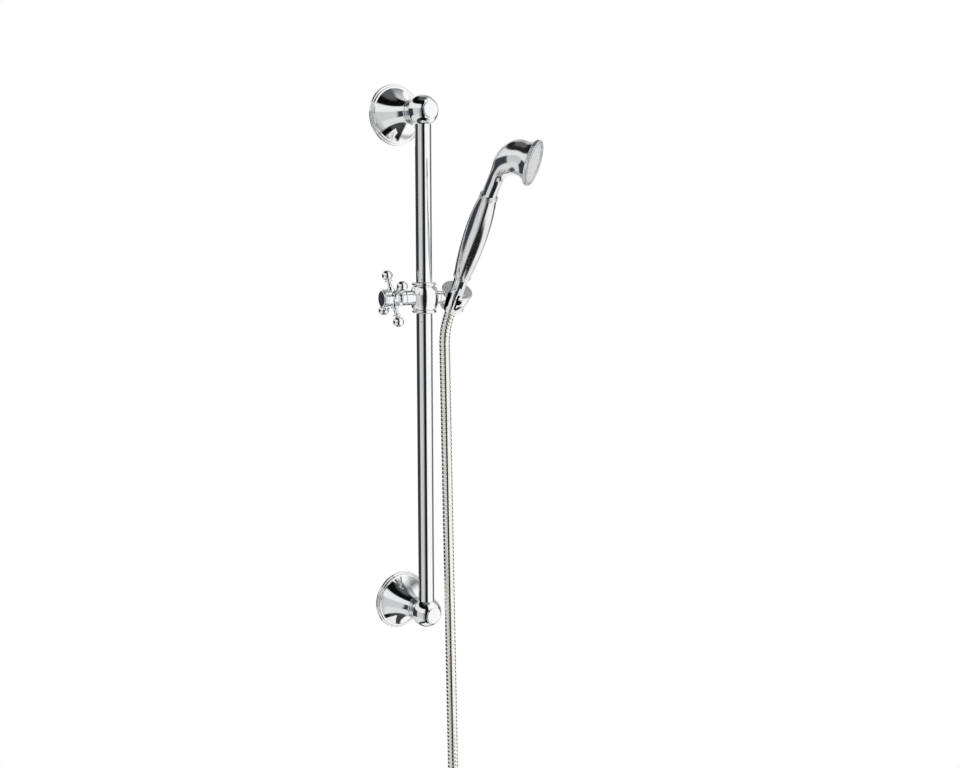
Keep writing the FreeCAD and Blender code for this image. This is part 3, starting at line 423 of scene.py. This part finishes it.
def build_handset():
    """Cone nut, base, bead rings, barrel grip, horn head, knurled rim and nozzle plate."""
    def cone(height):
        return 9.85 + (height + 15.6) * 2.8 / 26.2
    nut = [(7.05, -21), (cone(-21), -21), (cone(3.1), 3.1), (cone(3.1) - 0.6, 3.1), (cone(4) - 0.6, 4),
           (cone(4), 4), (cone(11), 11), (8.4, 11)]
    piece("cone_nut", [lathe(nut, HANDSET, closed=False)], CHROME, "holder", BRASS, "hose_cone_nut")
    base = [(10.4, 2.2), (10.4, 10.8), (8.5, 10.8), (8.8, 30), (5.5, 30)]
    piece("handset_base", [lathe(base, HANDSET, closed=False)], SOFT_CHROME, "holder", BRASS,
          "handset_base")
    ring = [(5.5, 0), (10.4, 0)]
    for start in (0.15, 2.15):
        low, high = (10.5, start), (10.5, start + 1.7)
        ring += [low, *arc(low, high, 1.0, 1, 8), high]
    ring += [(10.4, 4), (5.5, 4)]
    for name, height in (("lower", 30), ("upper", 143.4)):
        piece(f"handset_{name}_ring", [lathe(ring, moved(HANDSET, z=height))], SOFT_CHROME, "holder", BRASS,
              f"handset_{name}_ring")
    low, middle, high = (10.7, 0), (14.7, 61.05), (10.7, 109.4)
    grip = [(8.7, 0), low, *arc(low, middle, (61.05 ** 2 + 16) / 8, 1, 40), (14.7, 61.05, 0),
            *arc(middle, high, (48.35 ** 2 + 16) / 8, 1, 40), high, (8.7, 109.4)]
    piece("handset_grip", [lathe(grip, moved(HANDSET, z=34), closed=False)], SOFT_CHROME, "holder", BRASS,
          "handset_handle")
    build_head()


def build_head():
    """Horn: circles whose centre, heading and radius follow splines from the neck round to the face."""
    shares = np.array([(0, 0, 0, 0), (0.02, 0.26, 0, 0.01), (0.05, 0.48, 0.27, 0.08),
                       (0.092, 0.692, 0.55, 0.38), (0.222, 0.852, 0.76, 0.61), (0.44, 0.962, 0.91, 0.745),
                       (0.70, 0.99, 0.98, 0.785), (0.871, 0.988, 1, 1)])
    steps = np.hypot(np.diff(shares[:, 0] * 38.4), np.diff(shares[:, 1] * 60))
    place = np.concatenate([[0], np.cumsum(steps)])
    along = np.linspace(0, place[-1], 120)
    across, rise, turn, wide = (spline(place, column, along) for column in shares.T)
    turn = np.radians(81.7 * turn)
    radius = 8.6 + 16.2 * wide
    angle = np.linspace(0, TURN, 128, endpoint=False)
    c, s = np.cos(angle)[None], np.sin(angle)[None]
    x = (38.4 * across)[:, None] + (radius * np.cos(turn))[:, None] * c
    z = (147.4 + 60 * rise)[:, None] - (radius * np.sin(turn))[:, None] * c
    horn = np.stack([x, radius[:, None] * s + 0 * x, z], axis=2)
    piece("handset_head", [grid(horn @ HANDSET[:3, :3].T + HANDSET[:3, 3])], SOFT_CHROME, "holder", BRASS,
          "handset_head")
    outline = [(23.1, -5), (24.8, -5), *arc((24.8, -5), (26, -3.8), 1.2, 1, 6), (26, -3.8, 0),
               (26, -2.6, 0), (26, -1.2, 0), *arc((26, -1.2), (24.8, 0), 1.2, 1, 6), (24.8, 0), (23.1, 0),
               (23.1, -2)]
    profile, slope = rounded(outline, False)
    angle = np.linspace(0, TURN, 576, endpoint=False)
    band = np.clip((profile[:, 0] - 24.6) / 1.2, 0, 1)
    reach = profile[:, :1] - 0.35 * band[:, None] * (0.5 - 0.5 * np.cos(96 * angle))[None]
    rim = np.stack([reach * np.cos(angle), reach * np.sin(angle), np.repeat(profile[:, 1:], 576, 1)], 2)
    piece("spray_rim", [grid(rim @ FACE[:3, :3].T + FACE[:3, 3])], SOFT_CHROME, "holder", BRASS,
          "spray_rim")
    edge = (23, -2)
    curve = (23 ** 2 + 1.6 ** 2) / 3.2
    dome = [(23, -5), edge, *arc(edge, (0, -0.4), curve, 1, 24), (0.01, -0.4, 0)]
    patches = [lathe(dome, FACE, closed=False)]
    nub = [(1.0, -0.6), (0.9, 0.2), *arc((0.9, 0.2), (0, 0.75), 0.9, 1, 4), (0.01, 0.75, 0)]
    for circle in range(1, 4):
        out = 5.8 * circle
        height = -0.4 - curve + math.sqrt(curve ** 2 - out ** 2)
        for k in range(6 * circle):
            seat = moved(turned(FACE, 60 * k / circle), x=out, z=height)
            patches.append(lathe(nub, seat, closed=False, steps=12))
    piece("spray_plate", patches, PLATE, "holder", "grey_plastic", "spray_plate")


build_handset()

# Route of the hose in metres: out of the cone nut, over to where it hangs, and down to the coil's start
ROUTE = [(0.04366, -0.05597, 0.07120), (0.04518, -0.04518, 0.05560), (0.04606, -0.03893, 0.03560),
         (0.046305, -0.039118, 0.01460)]
FOOT = (0.05386, -0.04493, -0.634)
COIL_R = 0.072
PITCH = 0.0144
PER_TURN = 16
HOSE_D = 0.014


def hose_route():
    """Control points: the straight runs, two turns of a ring in the YZ plane, then straight down."""
    half = math.pi / PER_TURN
    x, y, top = FOOT
    points = list(ROUTE) + [(x, y, top + COIL_R * math.tan(half))]
    for k in range(2 * PER_TURN):
        angle = (2 * k + 1) * half
        reach = COIL_R / math.cos(half)
        points.append((x + PITCH * angle / TURN, y - COIL_R + reach * math.cos(angle),
                       top - reach * math.sin(angle)))
    tail = x + 2 * PITCH
    return points + [(tail, y, top - COIL_R * math.tan(half)), (tail, y, top - 0.060)]


def build_hose():
    """Ribbed tube: radius 7 mm on the ribs, less in the grooves between them, swept along the route."""
    curve = bpy.data.curves.new("hose line", "CURVE")
    curve.dimensions = "3D"
    curve.resolution_u = 16
    line = curve.splines.new("NURBS")
    points = hose_route()
    line.points.add(len(points) - 1)
    line.points.foreach_set("co", np.array([(*point, 1.0) for point in points]).ravel())
    line.order_u = 3
    line.use_endpoint_u = True
    holder = bpy.data.objects.new("hose line", curve)
    bpy.context.scene.collection.objects.link(holder)
    read = bpy.data.meshes.new_from_object(holder)
    path = np.empty(len(read.vertices) * 3)
    read.vertices.foreach_get("co", path)
    path = path.reshape(-1, 3)
    bpy.data.objects.remove(holder)
    bpy.data.meshes.remove(read)
    run = np.concatenate([[0], np.cumsum(np.linalg.norm(np.diff(path, axis=0), axis=1))])
    rib = 0.0053
    at = np.linspace(0, run[-1], int(run[-1] / rib) * 8 + 1)
    centre = np.stack([np.interp(at, run, column) for column in path.T], axis=1)
    tangent = np.gradient(centre, axis=0)
    tangent /= np.linalg.norm(tangent, axis=1, keepdims=True)
    side = np.array([1.0, 0, 0]) - tangent * tangent[:, :1]
    side /= np.linalg.norm(side, axis=1, keepdims=True)
    cross = np.cross(tangent, side)
    radius = HOSE_D / 2 - 0.0009 * (1 - np.abs(np.sin(math.pi * at / rib)) ** 0.6)
    angle = np.linspace(0, TURN, 24, endpoint=False)
    points = centre[:, None] + radius[:, None, None] * (
        side[:, None] * np.cos(angle)[None, :, None] + cross[:, None] * np.sin(angle)[None, :, None])
    hose = piece("hose", [grid(points / MM)], HOSE_CHROME, None, "chromed_hose",
                 "hose_neck", "hose_tube", "hose_coil", "hose_tail")
    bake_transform(hose)


build_hose()

CAMERA_TURN = math.radians(37.16)
camera_data = bpy.data.cameras.new("camera")
camera_data.lens = 39.30
camera_data.sensor_width = 36
camera = bpy.data.objects.new("camera", camera_data)
bpy.context.scene.collection.objects.link(camera)
camera.location = (-0.7177, -1.1211, 0.1599)
camera.rotation_euler = (math.radians(82.08), 0, -CAMERA_TURN)
bpy.context.scene.camera = camera
bpy.context.scene.view_settings.view_transform = "Standard"


def build_world():
    """White to the camera on every side. Mirrored rays see the same white behind the part, and a studio on
    its other sides: upright dark and pale panels at the height of the eye, walls and a ceiling above them,
    walls and a dark ground below them, laid out by the angle from the camera's side and by the height."""
    world = bpy.data.worlds.new("studio")
    bpy.context.scene.world = world
    world.use_nodes = True
    tree = world.node_tree
    tree.nodes.clear()
    way = add(tree, "ShaderNodeTexCoord").outputs["Generated"]
    facing = add(tree, "ShaderNodeVectorRotate", {"Vector": way, "Angle": math.pi / 2 + CAMERA_TURN},
                 rotation_type="Z_AXIS")
    parts = add(tree, "ShaderNodeSeparateXYZ", {"Vector": facing.outputs["Vector"]})
    angle = add(tree, "ShaderNodeMath", {0: parts.outputs["Y"], 1: parts.outputs["X"]}, operation="ARCTAN2")
    share = add(tree, "ShaderNodeMapRange", {"Value": angle.outputs[0], "From Min": -math.pi,
                                             "From Max": math.pi}).outputs["Result"]
    ground = add(tree, "ShaderNodeValToRGB", {"Fac": share}, stops=[
        (0.0, "#3C3C3C"), (0.34, "#4A4A4A"), (0.37, "#0C0C0C"), (0.75, "#0C0C0C"), (0.765, "#F0F0F0"),
        (0.83, "#F0F0F0"), (0.86, "#141414"), (1.0, "#3C3C3C")])
    low = add(tree, "ShaderNodeValToRGB", {"Fac": share}, stops=[
        (0.06, "#FFFFFF"), (0.1, "#C8CACA"), (0.23, "#E2E4E4"), (0.4, "#E2E4E4"), (0.485, "#1A1A1A"),
        (0.555, "#141414"), (0.58, "#FFFFFF"), (0.88, "#FFFFFF"), (0.91, "#A8A8A8"), (0.94, "#FFFFFF")])
    panels = add(tree, "ShaderNodeValToRGB", {"Fac": share}, stops=[
        (0.06, "#FFFFFF"), (0.08, "#323740"), (0.285, "#323740"), (0.305, "#D2D4D3"), (0.42, "#CDCFCE"),
        (0.485, "#1A1A1A"), (0.555, "#141414"), (0.58, "#FFFFFF"), (0.785, "#FFFFFF"), (0.80, "#666666"),
        (0.87, "#5A5A5A"), (0.91, "#A2A4A4"), (0.94, "#FFFFFF")])
    high = add(tree, "ShaderNodeValToRGB", {"Fac": share}, stops=[
        (0.06, "#FFFFFF"), (0.1, "#A8AAAA"), (0.18, "#ECEDED"), (0.455, "#F2F3F3"), (0.485, "#1A1A1A"),
        (0.555, "#141414"), (0.58, "#FFFFFF"), (0.8, "#FFFFFF"), (0.9, "#7A7C7E"), (0.94, "#FFFFFF")])
    ceiling = add(tree, "ShaderNodeValToRGB", {"Fac": share}, stops=[
        (0.0, "#C8CACA"), (0.055, "#C8CACA"), (0.085, "#0C0C0C"), (0.55, "#0C0C0C"), (0.585, "#FFFFFF"),
        (0.82, "#FFFFFF"), (0.92, "#8C8E8E"), (1.0, "#C8CACA")])
    room = ground.outputs["Color"]
    for start, end, above in ((-58, -53, low), (-27, -22, panels), (9, 13, high), (36, 42, ceiling)):
        height = {"From Min": math.sin(math.radians(start)), "From Max": math.sin(math.radians(end))}
        rise = add(tree, "ShaderNodeMapRange", {"Value": parts.outputs["Z"], **height}).outputs["Result"]
        mixed = add(tree, "ShaderNodeMix", {"Factor": rise, 6: room, 7: above.outputs["Color"]},
                    data_type="RGBA")
        room = mixed.outputs[2]
    overhead = {"From Min": math.sin(math.radians(64)), "From Max": math.sin(math.radians(76))}
    rise = add(tree, "ShaderNodeMapRange", {"Value": parts.outputs["Z"], **overhead}).outputs["Result"]
    room = add(tree, "ShaderNodeMix", {"Factor": rise, 6: room, 7: colour("#5A5C5E")}, data_type="RGBA")
    mirrored = add(tree, "ShaderNodeLightPath").outputs["Is Glossy Ray"]
    seen = add(tree, "ShaderNodeMix", {"Factor": mirrored, 6: colour("#FFFFFF"), 7: room.outputs[2]},
               data_type="RGBA")
    light = add(tree, "ShaderNodeBackground", {"Color": seen.outputs[2], "Strength": 1.0})
    add(tree, "ShaderNodeOutputWorld", {"Surface": light.outputs["Background"]})


def build_floor():
    """Plain pale floor under the part, below the hose's end at the foot of the slider's travel."""
    x, y = np.meshgrid([-280.0, 320.0], [-300.0, 200.0], indexing="ij")
    flat = np.stack([x, y, np.full((2, 2), -1120.0)], axis=2)
    mesh = bpy.data.meshes.new("floor")
    mesh.from_pydata((flat.reshape(-1, 3) * MM).tolist(), [], [(0, 2, 3, 1)])
    mesh.materials.append(FLOOR)
    floor = bpy.data.objects.new("floor", mesh)
    bpy.context.scene.collection.objects.link(floor)


build_world()
build_floor()
